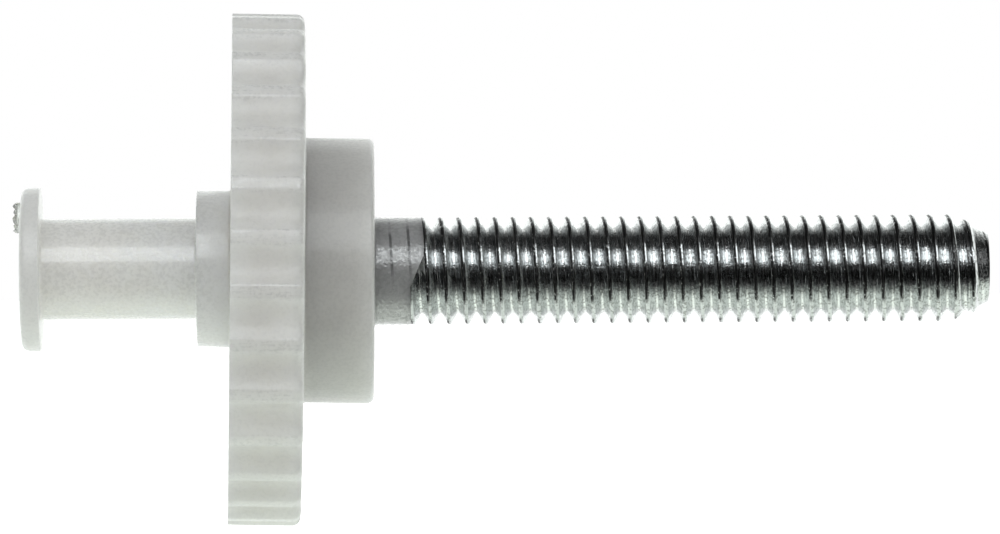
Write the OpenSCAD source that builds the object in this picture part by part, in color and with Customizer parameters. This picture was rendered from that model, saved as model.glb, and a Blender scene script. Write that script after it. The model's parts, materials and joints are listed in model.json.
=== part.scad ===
// Thumbwheel adjusting screw: a natural nylon thumbwheel with a grooved spool end, moulded over the
// head of an M6 hexagon screw. The screw's axis is X and its thread points to +X. The origin is on
// that axis, in the plane of the boss's front face, which seats against a nut or a tapped plate.

/* [Screw] */
// Outside diameter of the thread, over its crests
thread_d = 5.9; // [5.8:0.05:5.95]
// Distance from one thread crest to the next
thread_pitch = 1; // [0.8:0.05:1.25]
// Depth of the thread, from crest to root
thread_depth = 0.58; // [0.4:0.02:0.62]
// Length of the screw below its head
screw_len = 35; // [20:1:60]
// Diameter of the plain run-out between the head and the thread
runout_d = 5.3; // [4.8:0.05:5.4]
// Diameter of the flat at the thread's tip
tip_d = 3.8; // [3.6:0.1:4.6]
// Angle between the tip's chamfer and the axis
tip_angle = 30; // [20:1:45]
// Width of the hexagon head across its flats
head_af = 10; // [9:0.5:10]
// Height of the hexagon head
head_h = 4; // [3.5:0.1:4.2]

/* [Boss] */
// Diameter of the boss in front of the wheel
boss_d = 14.6; // [14:0.1:20]
// Height of the boss in front of the wheel
boss_h = 3.95; // [3:0.05:6]
// Thickness of nylon between the screw head and the boss's front face
boss_skin = 1; // [0.6:0.1:2]
// Radius of the boss's front edge
boss_edge_r = 0.4; // [0.1:0.1:0.8]
// Radius of the fillet where the boss meets the wheel
boss_fillet_r = 0.25; // [0.1:0.05:0.6]

/* [Wheel] */
// Outside diameter of the thumbwheel, over its ribs
wheel_d = 28.2; // [24:0.2:40]
// Thickness of the thumbwheel
wheel_h = 4; // [3:0.1:6]
// Radius of the wheel's front edge
wheel_edge_r = 0.45; // [0.1:0.05:0.8]
// Number of grip ribs round the rim
rib_count = 30; // [16:1:30]
// Angle that the ring of hollows is turned from -Y towards +Z
rib_turn = 1.2; // [0:0.1:12]
// Radius of the hollow between two ribs
hollow_r = 1.5; // [1:0.05:1.6]
// Depth of the hollow between two ribs
hollow_depth = 0.52; // [0.2:0.02:0.56]

/* [Spool] */
// Diameter of the hub behind the wheel
hub_d = 8.6; // [7:0.1:12]
// Height of the hub behind the wheel
hub_h = 1.8; // [1:0.1:4]
// Diameter of the neck that a slotted bracket grips
neck_d = 5.55; // [4:0.05:6]
// Length of the neck, which is the width of the groove
neck_h = 8.6; // [5:0.1:12]
// Radius of the fillet at each end of the neck
neck_fillet_r = 0.15; // [0.1:0.05:0.4]
// Diameter of the end flange
flange_d = 9; // [8.4:0.1:12]
// Thickness of the end flange
flange_h = 1.05; // [0.8:0.05:2]
// Radius of the flange's outer edge
flange_edge_r = 0.4; // [0.1:0.1:0.6]

/* [Collar and gate mark] */
// Length of the nylon collar that fills the first turns of the thread
collar_h = 2.04; // [1:0.02:2.2]
// Thickness of nylon left over the thread crests inside the collar
collar_skin = 0.04; // [0.02:0.02:0.2]
// Diameter of the gate mark at the flange's end
gate_d = 1.4; // [1:0.1:1.8]
// Height of the gate mark
gate_h = 0.5; // [0.2:0.1:1]
// Distance from the axis to the centre of the gate mark
gate_offset = 2.9; // [2:0.1:3]

/* [Hidden] */
$fn = 96;

// Radii and positions along the axis, worked out from the driving dimensions
thread_r = thread_d / 2;
tip_x = screw_len - boss_skin;
wheel_front_x = -boss_h;
wheel_back_x = wheel_front_x - wheel_h;
hub_back_x = wheel_back_x - hub_h;
neck_back_x = hub_back_x - neck_h;
flange_back_x = neck_back_x - flange_h;

// Thread form: 60 degrees between flanks, with an eighth of the pitch flat on each crest
flank_angle = 30;
crest_w = thread_pitch / 8;
root_w = thread_pitch - crest_w - 2 * thread_depth * tan(flank_angle);
// Middle of the first crest beyond the boss
first_crest_x = 0.664 * thread_pitch;
// Middle of the hindmost groove, which starts clear of the head
first_groove_x = first_crest_x - thread_pitch / 2;
groove_count = ceil((tip_x - first_groove_x) / thread_pitch);
// The run-out ends this far inside the boss
runout_cover = 0.2;
// The chamfer on the head's top corners, as a share of the head's height
head_chamfer = 0.12;
// How far a cutting shape reaches past the surface that it cuts
over = 0.2;

// Turns a shape modelled along Z so that it lies along X, moved to x
module along_x(x = 0) {
    translate([x, 0, 0]) rotate([0, 90, 0]) children();
}

// Half section of a disc of radius r and height h, with its outer edge at z = h rounded to edge_r
module disc_section(r, h, edge_r) {
    square([r - edge_r, h]);
    square([r, h - edge_r]);
    translate([r - edge_r, h - edge_r]) circle(edge_r);
}

// Half section of the fillet that fills the corner between a shaft of radius r and the face z = 0
module fillet_section(r, fillet_r) {
    translate([r - over, 0]) square([over, fillet_r]);
    translate([r, 0]) difference() {
        square(fillet_r);
        translate([fillet_r, fillet_r]) circle(fillet_r);
    }
}

// Half section of one thread groove centred on z = 0, cut a little past the crests
module groove_section() {
    root_r = thread_r - thread_depth;
    half_root = root_w / 2;
    half_mouth = half_root + (thread_depth + over) * tan(flank_angle);
    polygon([
        [root_r, -half_root],
        [thread_r + over, -half_mouth],
        [thread_r + over, half_mouth],
        [root_r, half_root]
    ]);
}

// The screw's shank before threading, from the head and its plain run-out to the chamfered tip
module shank_blank() {
    tip_r = tip_d / 2;
    chamfer_h = (thread_r - tip_r) / tan(tip_angle);
    runout_h = boss_skin - runout_cover;
    rotate_extrude() polygon([
        [0, 0],
        [runout_d / 2, 0],
        [runout_d / 2, runout_h],
        [thread_r, runout_h],
        [thread_r, screw_len - chamfer_h],
        [tip_r, screw_len],
        [0, screw_len]
    ]);
}

// The hexagon head, with the corners of its top chamfered at 30 degrees
module head_blank() {
    corner_r = head_af / 2 / cos(30);
    chamfer_h = head_h * head_chamfer;
    intersection() {
        cylinder(h = head_h, r = corner_r, $fn = 6);
        rotate_extrude() polygon([
            [0, 0],
            [corner_r - chamfer_h / tan(30), 0],
            [corner_r, chamfer_h],
            [corner_r + over, chamfer_h],
            [corner_r + over, head_h],
            [0, head_h]
        ]);
    }
}

// The whole screw as one shape, which is also the cavity in the nylon
module screw_shape() {
    along_x(-boss_skin - head_h) head_blank();
    difference() {
        along_x(-boss_skin) shank_blank();
        for (i = [0 : groove_count - 1]) {
            along_x(first_groove_x + i * thread_pitch) rotate_extrude() groove_section();
        }
    }
}

// The wheel with its ring of hollows, one of which faces nearly along -Y
module ribbed_wheel() {
    difference() {
        along_x(wheel_back_x) rotate_extrude() disc_section(wheel_d / 2, wheel_h, wheel_edge_r);
        for (i = [0 : rib_count - 1]) {
            rotate([i * 360 / rib_count - rib_turn, 0, 0])
                translate([wheel_back_x - over, -wheel_d / 2 + hollow_depth - hollow_r, 0])
                    rotate([0, 90, 0])
                        cylinder(h = wheel_h + 2 * over, r = hollow_r);
        }
    }
}

// The boss in front of the wheel, with its rounded edge and its fillet
module boss() {
    along_x(wheel_front_x) rotate_extrude() {
        translate([0, -over]) square([boss_d / 2, over]);
        disc_section(boss_d / 2, boss_h, boss_edge_r);
        fillet_section(boss_d / 2, boss_fillet_r);
    }
}

// The hub, neck and end flange behind the wheel
module spool() {
    along_x(hub_back_x) cylinder(h = hub_h + over, d = hub_d);
    along_x(neck_back_x - over) cylinder(h = neck_h + 2 * over, d = neck_d);
    along_x(neck_back_x) rotate_extrude() fillet_section(neck_d / 2, neck_fillet_r);
    along_x(hub_back_x) mirror([0, 0, 1])
        rotate_extrude() fillet_section(neck_d / 2, neck_fillet_r);
    along_x(neck_back_x) mirror([0, 0, 1])
        rotate_extrude() disc_section(flange_d / 2, flange_h, flange_edge_r);
}

// The stub left where the nylon was let into the mould
module gate_mark() {
    translate([0, 0, gate_offset])
        along_x(flange_back_x - gate_h) cylinder(h = gate_h + over, d = gate_d);
}

module hex_screw() {
    color("silver") screw_shape();
}

module thumbwheel_moulding() {
    color([0.83, 0.85, 0.82]) difference() {
        union() {
            ribbed_wheel();
            boss();
            spool();
            gate_mark();
            along_x(-over) cylinder(h = collar_h + over, r = thread_r + collar_skin);
        }
        screw_shape();
    }
}

hex_screw();
thumbwheel_moulding();
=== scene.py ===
import json
import math

import bmesh
import bpy
import numpy as np
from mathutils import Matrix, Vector


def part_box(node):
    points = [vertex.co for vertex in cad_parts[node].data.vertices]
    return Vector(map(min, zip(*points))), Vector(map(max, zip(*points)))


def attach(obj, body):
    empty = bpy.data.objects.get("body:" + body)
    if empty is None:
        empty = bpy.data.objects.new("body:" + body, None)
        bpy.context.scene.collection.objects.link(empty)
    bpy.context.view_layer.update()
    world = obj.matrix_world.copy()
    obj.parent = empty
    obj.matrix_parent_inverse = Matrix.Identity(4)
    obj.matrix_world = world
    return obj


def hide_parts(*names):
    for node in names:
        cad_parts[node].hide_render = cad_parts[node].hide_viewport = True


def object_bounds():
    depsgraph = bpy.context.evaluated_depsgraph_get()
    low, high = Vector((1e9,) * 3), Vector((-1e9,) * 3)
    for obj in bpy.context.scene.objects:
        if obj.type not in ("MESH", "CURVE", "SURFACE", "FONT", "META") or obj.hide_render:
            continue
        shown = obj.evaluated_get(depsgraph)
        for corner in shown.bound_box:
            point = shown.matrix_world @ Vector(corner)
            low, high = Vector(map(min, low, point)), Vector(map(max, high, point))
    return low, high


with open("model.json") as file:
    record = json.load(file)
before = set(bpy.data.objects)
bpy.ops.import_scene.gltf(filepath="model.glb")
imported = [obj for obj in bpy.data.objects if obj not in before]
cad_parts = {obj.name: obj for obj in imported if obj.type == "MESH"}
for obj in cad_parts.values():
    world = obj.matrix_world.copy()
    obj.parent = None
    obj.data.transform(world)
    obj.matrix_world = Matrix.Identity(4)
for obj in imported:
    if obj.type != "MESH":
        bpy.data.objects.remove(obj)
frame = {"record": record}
packed_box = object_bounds()

# ---- Camera ----------------------------------------------------------------------------------
# A long lens looks level along +Y at the screw lying across the picture, its thread to the right.
# The tripod stands a degree to the left of square and leans a third of a degree.
mm = 0.001
low, high = packed_box
picture_width = 55.2 * mm
lens_distance = 410 * mm
camera_turn = math.radians(-1.0)
camera_lean = math.radians(0.34)
aim_offset = Vector((-0.1 * mm, 0, 0.19 * mm))
aim = (low + high) / 2 + aim_offset

camera = bpy.data.objects.new("camera", bpy.data.cameras.new("camera"))
camera.data.lens = camera.data.sensor_width * lens_distance / picture_width
camera.data.clip_start = 0.01
camera.data.clip_end = 10
camera.rotation_euler = (math.pi / 2, camera_lean, camera_turn)
camera.location = aim + lens_distance * Vector((math.sin(camera_turn), -math.cos(camera_turn), 0))
bpy.context.scene.collection.objects.link(camera)
bpy.context.scene.camera = camera


# ---- Studio: light room, key lamp and table --------------------------------------------------
# The screw hangs in a white room: light comes from below and behind, a window-shaped lamp stands
# in front and above, and the camera's side is dark, which draws the black bands along the steel.
class Wire:
    """One output of a node tree. Arithmetic on it adds Math nodes, and node() adds any other kind."""

    def __init__(self, tree, socket=None):
        self.tree = tree
        self.socket = socket

    def node(self, kind, settings, sockets, output=0):
        """Adds one node: its settings come first, a ramp's stops among them, then values or links."""
        made = self.tree.nodes.new("ShaderNode" + kind)
        for name, value in settings.items():
            if name != "stops":
                setattr(made, name, value)
                continue
            ramp = made.color_ramp.elements
            while len(ramp) < len(value):
                ramp.new(1.0)
            for stop, (place, colour) in zip(ramp, value):
                stop.position = place
                stop.color = (*colour, 1.0)
        for name, value in sockets.items():
            if isinstance(value, Wire):
                self.tree.links.new(value.socket, made.inputs[name])
            else:
                made.inputs[name].default_value = value
        return Wire(self.tree, made.outputs[output])

    def out(self, name):
        """Another output of the node that this wire comes from."""
        return Wire(self.tree, self.socket.node.outputs[name])

    def math(self, operation, *values):
        return self.node("Math", {"operation": operation}, dict(enumerate(values)))

    def __add__(self, other):
        return self.math("ADD", self, other)

    def __sub__(self, other):
        return self.math("SUBTRACT", self, other)

    def __rsub__(self, other):
        return self.math("SUBTRACT", other, self)

    def __mul__(self, other):
        return self.math("MULTIPLY", self, other)

    def __truediv__(self, other):
        return self.math("DIVIDE", self, other)

    __radd__ = __add__
    __rmul__ = __mul__

    def spread(self, start, end):
        """0 where this is at start or before it, 1 at end or past it, and even steps between."""
        return self.node("MapRange", {}, {"Value": self, "From Min": start, "From Max": end})

    def blend(self, first, second):
        """The colour that turns from first to second as this value goes from 0 to 1."""
        colours = {0: self, 6: first, 7: second}
        return self.node("Mix", {"data_type": "RGBA"}, colours, 2)

    def noise(self, scale, detail):
        """A cloudy pattern around 0.5 at this place, with scale clouds or so to each unit."""
        return self.node("TexNoise", {}, {"Vector": self, "Scale": scale, "Detail": detail})

    def bump(self, distance):
        """The slope of a surface that this height lifts, by distance for each unit of it."""
        return self.node("Bump", {}, {"Strength": 1.0, "Distance": distance, "Height": self})

    def split(self):
        """The three parts of a vector."""
        parts = self.node("SeparateXYZ", {}, {0: self})
        return parts, parts.out("Y"), parts.out("Z")


def grey(level, tint=(1.0, 1.0, 1.0)):
    """A grey of the given level, shifted by a tint."""
    return tuple(level * part for part in tint)


floor_tint = (0.92, 1.0, 0.915)
back_tint = (0.97, 1.0, 0.98)
cool_tint = (0.94, 0.99, 1.0)
warm_tint = (1.0, 0.95, 0.91)

# Brightness of the room by elevation in degrees, from the camera (0) over the top to the back (180).
room = [
    (-180, grey(1.4, back_tint)),
    (-150, grey(1.05, back_tint)),
    (-128, grey(0.95, floor_tint)),
    (-105, grey(1.05, floor_tint)),
    (-90, grey(1.0, floor_tint)),
    (-76, grey(0.7, floor_tint)),
    (-62, grey(0.31, floor_tint)),
    (-48, grey(0.07)),
    (-34, grey(0.004)),
    (-8, grey(0.002)),
    (8, grey(0.05)),
    (22, grey(0.25)),
    (52, grey(0.2)),
    (70, grey(0.025)),
    (106, grey(0.02)),
    (122, grey(0.18, back_tint)),
    (145, grey(0.95, back_tint)),
    (168, grey(1.4, back_tint)),
    (180, grey(1.4, back_tint)),
]
side_wall = grey(0.02, back_tint)

studio = bpy.data.worlds.new("studio")
studio.use_nodes = True
bpy.context.scene.world = studio
bpy.context.scene.view_settings.view_transform = "Standard"
air = Wire(studio.node_tree)
along, across, up = air.node("TexCoord", {}, {}, "Generated").split()
elevation = air.math("ARCTAN2", up, across * -1) / math.tau + 0.5
stops = [(degrees / 360 + 0.5, colour) for degrees, colour in room]
walls = air.node("ValToRGB", {"stops": stops}, {0: elevation})
# The walls beyond the screw's two ends are one grey, in front of it and above the floor.
beside = (along * along) * (along * along)
beside = beside * up.spread(-0.4, -0.1) * across.spread(0.3, -0.1)
walls = beside.blend(walls, (*side_wall, 1))
seen = air.node("LightPath", {}, {}, "Is Camera Ray")
backdrop = seen.blend(walls, (1, 1, 1, 1))
studio.node_tree.links.new(backdrop.socket, studio.node_tree.nodes["Background"].inputs["Color"])


def window_lamp(name, distance, elevation, width, height, brightness, tint):
    """A rectangular lamp that faces the screw from the camera's side, elevation degrees above it."""
    lamp = bpy.data.objects.new(name, bpy.data.lights.new(name, "AREA"))
    lamp.data.shape = "RECTANGLE"
    lamp.data.size = width
    lamp.data.size_y = height
    lamp.data.energy = brightness * math.pi * width * height
    lamp.data.color = tint
    tilt = math.radians(elevation)
    way = Vector((0, -math.cos(tilt), math.sin(tilt)))
    lamp.location = aim + distance * way
    lamp.rotation_euler = way.to_track_quat("Z", "Y").to_euler()
    bpy.context.scene.collection.objects.link(lamp)
    return lamp


key = window_lamp(
    "key_lamp",
    distance=500 * mm,
    elevation=34.5,
    width=800 * mm,
    height=310 * mm,
    brightness=1.5,
    tint=cool_tint,
)
key.visible_camera = False

# Soft lamps that light the nylon and leave no reflection: side, elevation, brightness and tint.
fills = [
    ("front", 5, 0.43, warm_tint),
    ("under", -85, 0.35, floor_tint),
    ("over", 115, 0.45, back_tint),
]
for side, angle, brightness, tint in fills:
    fill = window_lamp(
        side + "_fill",
        distance=600 * mm,
        elevation=angle,
        width=1200 * mm,
        height=700 * mm,
        brightness=brightness,
        tint=tint,
    )
    fill.visible_camera = False
    fill.visible_glossy = False

# A white table that only the camera sees.
table_size = 3.0
table_white = grey(0.5)
table_roughness = 0.8
table_glow = 1.0
table_mesh = bpy.data.meshes.new("table")
sides = [(-1, -1), (1, -1), (1, 1), (-1, 1)]
table_corners = [(x * table_size, y * table_size, low.z) for x, y in sides]
table_mesh.from_pydata(table_corners, [], [(0, 1, 2, 3)])
table = bpy.data.objects.new("table", table_mesh)
table_paint = bpy.data.materials.new("table_paint")
table_paint.use_nodes = True
paint = table_paint.node_tree.nodes["Principled BSDF"].inputs
paint["Base Color"].default_value = (*table_white, 1)
paint["Roughness"].default_value = table_roughness
paint["Emission Color"].default_value = (1, 1, 1, 1)
paint["Emission Strength"].default_value = table_glow
table_mesh.materials.append(table_paint)
for ray in ("glossy", "diffuse", "transmission", "shadow"):
    setattr(table, "visible_" + ray, False)
bpy.context.scene.collection.objects.link(table)

# ---- Hexagon screw ---------------------------------------------------------------------------
# A standard M6 screw, cold headed and thread rolled from steel wire and zinc plated bright. Its
# hexagon head is buried in the nylon; the rolled right-hand thread stands out to a chamfered tip.
screw_low, screw_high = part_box("hex_screw")
stud = next(m for m in frame["record"]["mounts"] if m["name"] == "threaded_stud")
crest_r = stud["dims"]["r_mm"]
screw_rows = 96

# The rolled thread, in mm. Each crest is rounder on its near edge than on its far one.
pitch = 1.0
thread_depth = 0.58
flank = math.radians(30)
crest_near = -0.085
crest_far = 0.085
near_round = 0.16
far_round = 0.05
root_round = 0.135
form_arc_step = math.radians(24)
longest_flank_run = 0.2
# Where the painted dark reflection line runs across each crest, and its width.
dark_line_place = -0.065
dark_line_width = 0.13
first_crest = 0.414

# The tip: where it ends, the flat and its dimple, and the lip that stands on its chamfer.
short_of_nominal = 0.13
tip_x = screw_high.x / mm - short_of_nominal
tip_r = 1.89
tip_slope = 0.52
dimple = [(0, tip_r - 0.02), (0.02, 1.2), (0.06, 0.5), (0.07, 0)]
lip_from_tip = np.array([1.9, 1.4, 0.8, 0.4])
lip_height = [0, 0.07, 0.22, 0]
lip_half_width = 0.1

# The head, and the plain run-out between it and the thread.
head_h = 4.0
head_back = screw_low.x / mm
head_front = head_back + head_h
flat_r = (screw_high.y - screw_low.y) / 2 / mm
head_top_r = 4.94
runout_r = 2.65
runout_h = 0.5
run_in_r = 2.2
run_in_gap = 0.15
thread_start = head_front + runout_h


def rounded(corners, arc_step=math.radians(15)):
    """A path of straight runs whose corners are arcs, in steps of about arc_step.

    corners holds (x, r, radius). With a the angle between the two runs that meet at a corner, and b
    the unit vector along its bisector, the arc's centre is the corner + b * radius / sin(a / 2).
    """
    places = np.array(corners, float)
    path = [places[:1, :2]]
    for before, corner, after in zip(places, places[1:], places[2:]):
        back = (before - corner)[:2] / np.hypot(*(before - corner)[:2])
        on = (after - corner)[:2] / np.hypot(*(after - corner)[:2])
        bisector = (back + on) / np.hypot(*(back + on))
        across = (on - back) / np.hypot(*(on - back))
        half = math.acos(np.clip(back @ on, -1, 1)) / 2
        centre = corner[:2] + bisector * corner[2] / math.sin(half)
        turn = math.pi / 2 - half
        steps = 2 + math.ceil(2 * turn / arc_step) if corner[2] > 0 else 1
        t = np.linspace(-turn, turn, steps)[:, None] if corner[2] > 0 else np.zeros((1, 1))
        path.append(centre - corner[2] * (bisector * np.cos(t) - across * np.sin(t)))
    return np.concatenate([*path, places[-1:, :2]])


def split_runs(path, longest):
    """The same path with points added, so that no straight run is longer than longest."""
    runs = np.hypot(*np.diff(path, axis=0).T)
    pieces = [
        np.linspace(start, end, max(1, math.ceil(run / longest)), endpoint=False)
        for start, end, run in zip(path, path[1:], runs)
    ]
    return np.concatenate([*pieces, path[-1:]])


def skin(name, places, grain=None):
    """A closed skin over a grid: places[i, j] is step i round the axis and step j along the profile.

    Every cell of the grid is a face. Points that coincide, at the seam, at the two poles and where a
    profile is cut off, are welded. grain[i, j] holds the pattern coordinates of a cell's corners.
    """
    weld_distance = 1e-4 * mm
    sharp_angle = math.radians(40)
    rows, steps = places.shape[:2]
    point = np.arange(rows * steps).reshape(rows, steps)
    cells = [point[:-1, :-1], point[:-1, 1:], point[1:, 1:], point[1:, :-1]]
    faces = np.stack(cells, -1).reshape(-1, 4)
    mesh = bpy.data.meshes.new(name)
    mesh.from_pydata(places.reshape(-1, 3) * mm, [], faces)
    if grain is not None:
        mesh.uv_layers.new(name="grain").data.foreach_set("uv", grain.ravel())
    work = bmesh.new()
    work.from_mesh(mesh)
    bmesh.ops.remove_doubles(work, verts=work.verts, dist=weld_distance)
    bmesh.ops.recalc_face_normals(work, faces=work.faces)
    work.to_mesh(mesh)
    work.free()
    mesh.shade_smooth()
    mesh.set_sharp_from_angle(angle=sharp_angle)
    piece = bpy.data.objects.new(name, mesh)
    bpy.context.scene.collection.objects.link(piece)
    return piece


def round_axis(x, r, theta):
    """Points at distance r from the X axis, at the angle theta from +Y towards +Z."""
    x, r, theta = np.broadcast_arrays(x, r, theta)
    return np.stack([x, r * np.cos(theta), r * np.sin(theta)], -1)


def thread_form():
    """One pitch of the rolled thread as (place along the axis, radius), from root to root."""
    root_r = crest_r - thread_depth
    flank_width = thread_depth * math.tan(flank)
    form = rounded([
        (-pitch / 2, root_r, 0),
        (crest_near - flank_width, root_r, root_round),
        (crest_near, crest_r, near_round),
        (crest_far, crest_r, far_round),
        (crest_far + flank_width, root_r, root_round),
        (pitch / 2, root_r, 0),
    ], form_arc_step)
    return split_runs(form, longest_flank_run)[:-1]


def hexagon_screw():
    """Head, run-out, thread and tip as one grid of rows round the axis and steps along it.

    Thread points sit at x = first_crest + step + pitch * theta / 360 degrees, so they follow the
    helix. A cone at each end cuts them off: r is the least of the thread form and the two cones.
    """
    theta = np.linspace(0, math.tau, screw_rows + 1)[:, None]
    form = thread_form()
    turns = np.arange(-4, math.ceil(tip_x) + 2)
    step = (first_crest + turns[:, None] * pitch + form[:, 0]).ravel()
    turn = np.repeat(turns, len(form))
    height = np.tile(form[:, 1], len(turns))

    # Nicks: dents where crests have knocked against other screws, placed along the helix.
    nicks = 150
    nick_reach = 0.12
    dice = np.random.default_rng(6)
    nick_place = dice.uniform(2 * math.tau, tip_x * math.tau, nicks)
    nick_depth = dice.uniform(0.004, 0.045, nicks)
    nick_length = dice.uniform(0.02, 0.09, nicks)
    helix = theta + turns * math.tau
    nick = (nick_depth * np.exp(-(((helix[..., None] - nick_place) / nick_length) ** 2))).sum(-1)
    near_crest = np.clip(1 - (crest_r - height) / nick_reach, 0, 1)
    height = height - near_crest * nick[:, turn - turns[0]]

    # The rolling dies leave the last crest standing a little above the chamfer.
    x = np.clip(step + pitch * theta / math.tau, thread_start, tip_x)
    from_crest = np.tile(np.abs(form[:, 0]), len(turns))
    lip = np.interp(x, tip_x - lip_from_tip, lip_height)
    lip = np.maximum(lip - np.maximum(from_crest - lip_half_width, 0) / math.tan(flank), 0)
    r = np.minimum(height, tip_r + (tip_x - x) * tip_slope + lip)
    r = np.minimum(r, run_in_r + (x - thread_start))
    thread = round_axis(x, r, theta)

    hexagon = flat_r / np.cos((theta - math.pi / 6) % (math.pi / 3) - math.pi / 6)
    chamfer = (hexagon - head_top_r) * tip_slope
    head_profile = [
        (head_back, 0),
        (head_back, head_top_r),
        (head_back + chamfer, hexagon),
        (head_front, hexagon),
        (head_front, runout_r),
        (thread_start - run_in_gap, runout_r),
    ]
    head = [round_axis(place, radius, theta) for place, radius in head_profile]
    tip = [round_axis(tip_x - depth, radius, theta) for depth, radius in dimple]
    places = np.concatenate([*head, thread, *tip], 1)

    # Pattern coordinates in mm: across the thread form, and along the helix. Neither the head nor the
    # end of the tip has a crest or a root, so both stay at a place between the two.
    plain_step = 0.02
    u_head = turns[0] - 1.3 + np.arange(len(head)) * plain_step
    u_tip = turns[-1] + 1.2 + np.arange(len(tip)) * plain_step
    u = np.concatenate([u_head, step - first_crest, u_tip])
    cell = np.round((u[1:] + u[:-1]) / 2 - 1e-6)
    corner_u = np.stack([u[:-1] - cell, u[1:] - cell, u[1:] - cell, u[:-1] - cell], -1)
    corner_turn = np.stack([theta[:-1], theta[:-1], theta[1:], theta[1:]], -1)
    corner_turn = corner_turn + cell[:, None] * math.tau
    grain = np.stack([np.broadcast_to(corner_u, corner_turn.shape), corner_turn * crest_r], -1)
    return skin("zinc_plated_screw", places, grain)


def material(name):
    """A new material, and the wire from which its pattern starts."""
    made = bpy.data.materials.new(name)
    made.use_nodes = True
    return made, Wire(made.node_tree)


def finish_with(made, **sockets):
    """Sets or links the sockets of a material's main shader, named with _ for each space."""
    shader = made.node_tree.nodes["Principled BSDF"].inputs
    for name, value in sockets.items():
        socket = shader[name.replace("_", " ")]
        if isinstance(value, Wire):
            made.node_tree.links.new(value.socket, socket)
        else:
            socket.default_value = value


def zinc_plate():
    """Bright zinc over rolled steel: burnished roots, marks along the helix, pits, grit and haze, with
    painted shade towards the nylon and a painted dark reflection along each crest.
    """
    hazy_and_shaded_zinc = (0.58, 0.595, 0.6, 1)
    clean_zinc = (0.78, 0.795, 0.8, 1)
    burnished_zinc = (0.93, 0.94, 0.94, 1)
    grit_grey = (0.2, 0.2, 0.19, 1)
    reflection_black = (0.04, 0.04, 0.04, 1)
    lanes_per_mm = 15
    lane_spacing = 3.7
    # The painted dark reflection line's soft edge and how far it wanders.
    dark_line_edge = 0.015
    dark_line_wander = 0.06

    made, wire = material("bright_zinc")
    across, along, _ = wire.node("UVMap", {"uv_map": "grain"}, {}).split()
    lane = wire.math("FLOOR", across * lanes_per_mm) * lane_spacing
    marks = wire.node("CombineXYZ", {}, {0: lane, 1: along}).noise(1.0, 4.0)
    place = wire.node("TexCoord", {}, {}, "Object")
    x, _, height = place.split()
    pits = place.noise(9000.0, 2.0)
    haze = place.noise(900.0, 3.0)
    # Hazy in clouds, and painted shade: the plating is darker towards the nylon, where the wheel keeps
    # light off it.
    clean_and_lit = haze.spread(0.35, 0.7) * 0.6 + x.spread(4 * mm, 16 * mm) * 0.4
    tone = clean_and_lit.blend(hazy_and_shaded_zinc, clean_zinc)
    rolled_root = wire.math("ABSOLUTE", across).spread(0.4, 0.46)
    tone = rolled_root.blend(tone, burnished_zinc)
    grit = place.noise(6000.0, 1.0)
    tone = (grit.spread(0.54, 0.62) * 0.55).blend(tone, grit_grey)
    relief = marks + pits * 0.2

    # Painted reflection: a dark, broken line along the near side of every crest, where the rounded crest
    # would mirror the dark room. It is left out in a band low on the screw, where it would mirror the
    # floor.
    ragged = place.noise(7000.0, 2.0)
    from_dark_line = wire.math("ABSOLUTE", across - dark_line_place + (ragged - 0.5) * dark_line_wander)
    dark_reflection = from_dark_line.spread(dark_line_width / 2 + dark_line_edge, dark_line_width / 2 - dark_line_edge)
    above_floor_band = height.spread(-1.9 * mm, -1.6 * mm)
    below_floor_band = height.spread(-2.6 * mm, -2.75 * mm)
    dark_reflection = dark_reflection * ragged.spread(0.34, 0.4) * wire.math("MAXIMUM", above_floor_band, below_floor_band)
    tone = dark_reflection.blend(tone, reflection_black)

    # The plating is duller towards the nylon, in streaks along the helix, in the pits and along the
    # painted dark reflection lines.
    streaks = wire.node("CombineXYZ", {}, {0: across * 8, 1: along * 0.45}).noise(1.0, 2.0)
    dull = x.spread(27 * mm, 14 * mm) * 0.07 + 0.03
    roughness = dull + streaks.spread(0.45, 0.66) * 0.12 + pits.spread(0.5, 0.8) * 0.1 + dark_reflection * 0.25
    finish_with(
        made,
        Base_Color=tone,
        Metallic=1.0,
        Roughness=roughness,
        Normal=relief.bump(0.05 * mm),
    )
    return made


screw = hexagon_screw()
screw.data.materials.append(zinc_plate())
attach(screw, "root")
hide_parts("hex_screw")

# ---- Thumbwheel moulding ---------------------------------------------------------------------
# One shot of uncoloured nylon, moulded round the screw's head: end flange, neck, hub, ribbed wheel
# and boss, with a collar that ran out into the first turns of the thread before it froze.
mould_low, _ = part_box("thumbwheel_moulding")
nylon_tint = (1.0, 0.985, 0.965)

# Lengths along the axis and radii, in mm.
gate_h = 0.5
flange_h = 1.05
neck_h = 8.6
hub_h = 1.8
wheel_h = 4.0
flange_back = mould_low.x / mm + gate_h
neck_back = flange_back + flange_h
hub_back = neck_back + neck_h
wheel_back = hub_back + hub_h
wheel_front = wheel_back + wheel_h
flange_r = 4.5
neck_r = 2.775
hub_r = 4.3
rim_r = 14.1
boss_r = 7.3
longest_outside_run = 0.7

# The ring of hollows. Its depth fades out across a band inside the rim.
rib_count = 30
rib_turn = math.radians(1.2)
hollow_depth = 0.52
hollow_r = 1.5
rib_round = 0.28
band_h = 1.3
band_fade = 0.8

# The collar: its shortest length, the film over the crests, and the slant at its open end.
plain_collar = 2.0
film = 0.014
collar_overlap = 0.02
slant_degrees = [152, 164, 172, 182, 194, 203]
slant_share = [0, 0.08, 0.28, 0.54, 0.8, 1]
slant_side = 0.6

# The cavity round the screw, a little tight so that no gap opens.
bore_r = 2.3
head_overlap = 0.05

# How far this one is out of true, and the nub of flash on its front edge.
wheel_lean = math.tan(math.radians(0.85))
wheel_turn = math.tan(math.radians(-1.1))
off_centre = 0.2
nub_y = -8.7
nub_z = 10.9
nub_h = 0.24
nub_r = 0.3
nub_reach = 0.5


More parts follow.
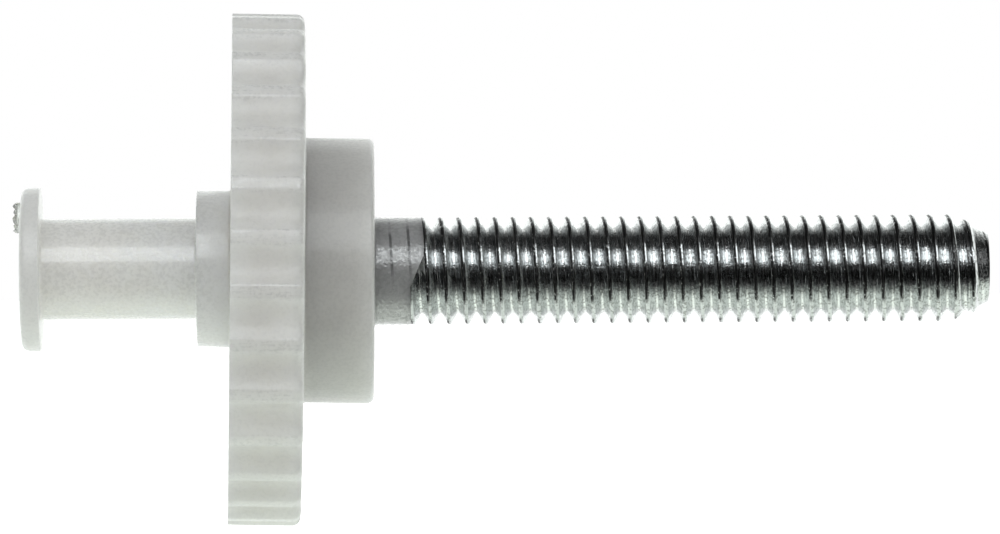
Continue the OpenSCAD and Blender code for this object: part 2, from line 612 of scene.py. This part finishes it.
def rib_outline():
    """Half a rib's spacing, as angles from the hollow's middle and radii: hollow, rounded edge, land.

    The edge is an arc of rib_round that touches the hollow's arc and the rim: its centre lies
    rim_r - rib_round from the axis and hollow_r + rib_round from the hollow's centre.
    """
    hollow_points = 5
    edge_points = 6
    hollow_centre = rim_r - hollow_depth + hollow_r
    edge_centre = rim_r - rib_round
    reach = hollow_r + rib_round
    cosine = (edge_centre**2 + hollow_centre**2 - reach**2) / (2 * edge_centre * hollow_centre)
    edge_angle = math.acos(cosine)
    sweep = math.asin(edge_centre * math.sin(edge_angle) / reach)
    t = np.linspace(0, sweep, hollow_points)
    hollow = (hollow_r * np.sin(t), hollow_centre - hollow_r * np.cos(t))
    t = np.linspace(-sweep, edge_angle, edge_points)[1:]
    edge = (
        edge_centre * math.sin(edge_angle) + rib_round * np.sin(t),
        edge_centre * math.cos(edge_angle) + rib_round * np.cos(t),
    )
    side, height = np.concatenate([hollow, edge], 1)
    land_middle = math.pi / rib_count
    angle = np.append(np.arctan2(side, height), land_middle)
    return angle, np.append(np.hypot(side, height), rim_r)


def rim_outline():
    """The whole rim as angles and radii. Every rib is the same half outline and its mirror image."""
    angle, radius = rib_outline()
    angle = np.concatenate([-angle[:0:-1], angle[:-1]])
    radius = np.concatenate([radius[:0:-1], radius[:-1]])
    spacing = math.tau / rib_count
    middles = np.arange(rib_count) * spacing - rib_turn
    theta = (middles[:, None] + angle).ravel()
    radius = np.tile(radius, rib_count)
    return np.append(theta, theta[0] + math.tau), np.append(radius, radius[0])


def collar_end(theta):
    """Where the nylon stops along the thread, by angle.

    It stops against the near side of a crest, which climbs the helix, but no nearer than a plain
    ring. Past the top the groove beyond stays full as far as the front, and ends there in a slant.
    """
    turn = (theta / math.tau - 0.25) % 1 + 0.25
    against_crest = first_crest + pitch * (1 + turn) + crest_near
    slant = np.interp(turn * 360, slant_degrees, slant_share)
    return np.maximum(against_crest + pitch * (1 - slant) * (turn < slant_side), plain_collar)


def thumbwheel():
    """The moulding as a profile turned round the axis, with the rim's hollows cut into it.

    A point's radius falls by the hollow's depth at its angle, times a weight that is 0 inside
    the wheel's outer band and 1 at its edge. The collar's points are stretched to its helical end.
    """
    # Each corner's place along the axis, its distance from the axis and the radius that rounds it.
    outside = rounded([
        (flange_back, 0, 0),
        (flange_back, flange_r, 0.4),
        (neck_back, flange_r, 0.09),
        (neck_back, neck_r, 0.15),
        (hub_back, neck_r, 0.15),
        (hub_back, hub_r, 0.07),
        (wheel_back, hub_r, 0.12),
        (wheel_back, rim_r, 0.06),
        (wheel_front, rim_r, 0.45),
        (wheel_front, boss_r, 0.25),
        (0, boss_r, 0.4),
        (0, crest_r + film, 0.1),
        (1, crest_r + film, 0),
    ])
    outside = split_runs(outside, longest_outside_run)
    inside = np.array([
        (1, crest_r - collar_overlap),
        (1, bore_r),
        (head_front, bore_r),
        (head_front, flat_r - head_overlap),
        (head_back, flat_r - head_overlap),
        (head_back, 0),
    ])
    theta, rim = rim_outline()
    theta, rim = theta[:, None], rim[:, None]
    x, r = np.concatenate([outside, inside]).T
    band = np.clip((r - (rim_r - band_h)) / band_fade, 0, 1)
    r = r - band * (rim_r - rim)
    x = np.where(x > 0, x * collar_end(theta), x)
    places = round_axis(x, r, theta)

    # The wheel and the boss sit about a degree out of true, and the moulding a little off centre.
    lean = np.interp(x, [hub_back, wheel_back, wheel_front, 0, 0.1], [0, 1, 1, 0.5, 0])
    turn = np.interp(x, [hub_back, wheel_back, -0.3, 0.1], [0, 1, 1, 0])
    places[..., 0] += wheel_lean * lean * places[..., 2] + wheel_turn * turn * places[..., 1]
    places[..., 2] += off_centre * np.interp(x, [hub_back, 0], [1, 0])

    # A nub of flash on the wheel's front edge.
    away = np.hypot(places[..., 1] - nub_y, places[..., 2] - nub_z)
    front = np.clip((x - wheel_front) / nub_reach + 1, 0, 1) * (x < wheel_front + 0.1)
    places[..., 0] += nub_h * np.exp(-((away / nub_r) ** 2)) * front
    return skin("nylon_thumbwheel", places)


def natural_nylon():
    """Milky nylon. It darkens where the steel lies close under it: in the boss and, most, the collar.
    Its neck and hub carry painted light towards the wheel.
    """
    cloud_grey = (0.93, 0.93, 0.93, 1)
    crest_shadow = (0.03, 0.03, 0.035, 1)
    grain_grey = (0.35, 0.35, 0.35, 1)
    shadow_shift = 0.08
    shadow_strength = 0.7
    scratch_scale = (700, 6500, 6500)

    # The nylon's shade along the axis, from the flange's back to a little past the collar's end. It
    # darkens over the steel, and the neck and hub are painted lighter up to the wheel, as painted light
    # against the shade of that corner.
    shades_with_painted_light = [
        (flange_back, grey(0.87, nylon_tint)),
        (neck_back, grey(0.91, nylon_tint)),
        # Painted light: the end of the neck and the hub are lighter up to the wheel, against the wheel's
        # shade.
        (hub_back - 4, grey(0.95, nylon_tint)),
        (hub_back, grey(1.0, nylon_tint)),
        (wheel_back - 0.1, grey(1.0, nylon_tint)),
        (wheel_back + 0.1, grey(0.89, nylon_tint)),
        (wheel_front - 0.5, grey(0.89, nylon_tint)),
        (wheel_front, grey(0.8, nylon_tint)),
        (wheel_front + 0.6, grey(0.68, nylon_tint)),
        (-0.5, grey(0.7, nylon_tint)),
        (0.0, grey(0.69, nylon_tint)),
        (0.05, grey(0.55)),
        (2.5, grey(0.55)),
    ]
    start, end = flange_back, 3.0

    made, wire = material("natural_nylon")
    place = wire.node("TexCoord", {}, {}, "Object")
    x, y, z = place.split()
    stops = [((at - start) / (end - start), colour) for at, colour in shades_with_painted_light]
    depth = (x / mm).spread(start, end)
    shade = wire.node("ValToRGB", {"stops": stops}, {0: depth})
    cloud = place.noise(420.0, 3.0)
    multiply = {"data_type": "RGBA", "blend_type": "MULTIPLY"}
    cloudy_shade = wire.node("Mix", multiply, {0: 1.0, 6: shade, 7: cloud_grey}, 2)
    shade = cloud.spread(0.3, 0.7).blend(cloudy_shade, shade)

    # Crests of the thread show through the collar as thin dark lines.
    turn = wire.math("ARCTAN2", z, y) / math.tau
    phase = wire.math("FRACT", x / (pitch * mm) - (first_crest + shadow_shift) - turn + 0.5)
    crest = wire.math("ABSOLUTE", phase - 0.5).spread(0.1, 0.05)
    on_collar = x.spread(0.0, 0.2 * mm)
    patchy = cloud.spread(0.42, 0.56)
    shade = (crest * on_collar * patchy * shadow_strength).blend(shade, crest_shadow)

    # Fine grain in the moulded skin.
    grain = place.noise(5200.0, 2.0)
    shade = (grain.spread(0.5, 0.65) * 0.06).blend(shade, grain_grey)

    # Ejected and handled corners shine in specks; the hollows between the ribs stay satin.
    radius = wire.math("SQRT", y * y + z * z)
    on_corner = radius.spread((rim_r - 0.16) * mm, (rim_r - 0.02) * mm)
    on_spool = x.spread(wheel_back * mm, hub_back * mm)
    on_neck = x.spread(neck_back * mm, (neck_back + 0.3) * mm) * 0.55 + 0.2
    stretched = wire.node("VectorMath", {"operation": "MULTIPLY"}, {0: place, 1: scratch_scale})
    scratches = stretched.noise(1.0, 3.0)
    on_boss = x.spread((wheel_front - 0.1) * mm, (wheel_front + 0.1) * mm) * 0.25
    glints = grain.spread(0.4, 0.6)
    shine = on_spool * on_neck * (glints * 0.9 + 0.5)
    shine = shine + on_corner * scratches.spread(0.42, 0.62) * glints
    shine = shine + on_boss * (glints + 0.3) + on_collar * glints

    waves = place.noise(700.0, 2.0)
    relief = waves + grain * (0.22 + on_collar * 0.3) + scratches * 0.05
    finish_with(
        made,
        Base_Color=shade,
        Roughness=0.28 + cloud.spread(0.3, 0.7) * 0.12 - on_collar * 0.2,
        Metallic=on_collar * 0.12,
        Normal=relief.bump(0.08 * mm),
        IOR=1.53,
        Coat_Weight=shine,
        Coat_IOR=2.0,
        Coat_Roughness=0.14,
        Subsurface_Weight=1.0,
        Subsurface_Radius=(1.0, 1.0, 0.95),
        Subsurface_Scale=3.5 * mm,
    )
    return made


wheel = thumbwheel()
wheel.data.materials.append(natural_nylon())
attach(wheel, "root")
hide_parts("thumbwheel_moulding")

# ---- Gate stub -------------------------------------------------------------------------------
# The nub of clear nylon left on the flange where the runner was snapped off. Its broken rim is
# ragged and coloured dark in patches.
stub_z = 2.85
stub_r = 0.85
stub_rows = 72
stub_base = flange_back + 0.05
stub_end = mould_low.x / mm + 0.09


def gate_stub():
    """A short hollow-ended peg on a ring grid: its rim is ragged by a few sine waves of the angle."""
    theta = np.linspace(0, math.tau, stub_rows + 1)[:, None]
    ragged = 0.05 * np.sin(5 * theta + 1) + 0.04 * np.sin(11 * theta) + 0.03 * np.sin(17 * theta + 2)

    # Each ring's place along the axis, its radius and its share of the raggedness.
    profile = [
        (stub_base, 0.0, 0.0),
        (stub_base, stub_r, 0.0),
        (stub_end + 0.12, stub_r * 0.97, 0.6),
        (stub_end, stub_r * 0.92, 1.0),
        (stub_end + 0.1, stub_r * 0.74, 0.5),
        (stub_end + 0.22, stub_r * 0.4, 0.0),
        (stub_end + 0.24, 0.0, 0.0),
    ]
    rings = [
        round_axis(x + share * ragged, r * (1 + share * ragged), theta)
        for x, r, share in profile
    ]
    return skin("gate_stub", np.concatenate(rings, 1) + (0, 0, stub_z + off_centre))


def clear_nylon():
    """The same nylon where it is thin enough to see through, darker in patches at the break."""
    clear = (0.95, 0.97, 0.95, 1)
    break_dark = (0.06, 0.06, 0.06, 1)
    made, wire = material("clear_nylon")
    place = wire.node("TexCoord", {}, {}, "Object")
    x, _, _ = place.split()
    break_pattern = place.noise(3400.0, 2.0)
    at_break = x.spread(mould_low.x + 0.2 * mm, mould_low.x + 0.1 * mm)
    tone = (at_break * break_pattern.spread(0.5, 0.55) * 0.8).blend(clear, break_dark)
    finish_with(
        made,
        Base_Color=tone,
        Roughness=0.15,
        Normal=break_pattern.bump(0.05 * mm),
        IOR=1.53,
        Transmission_Weight=0.85,
    )
    return made


stub = gate_stub()
stub.data.materials.append(clear_nylon())
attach(stub, "root")
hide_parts("thumbwheel_moulding")
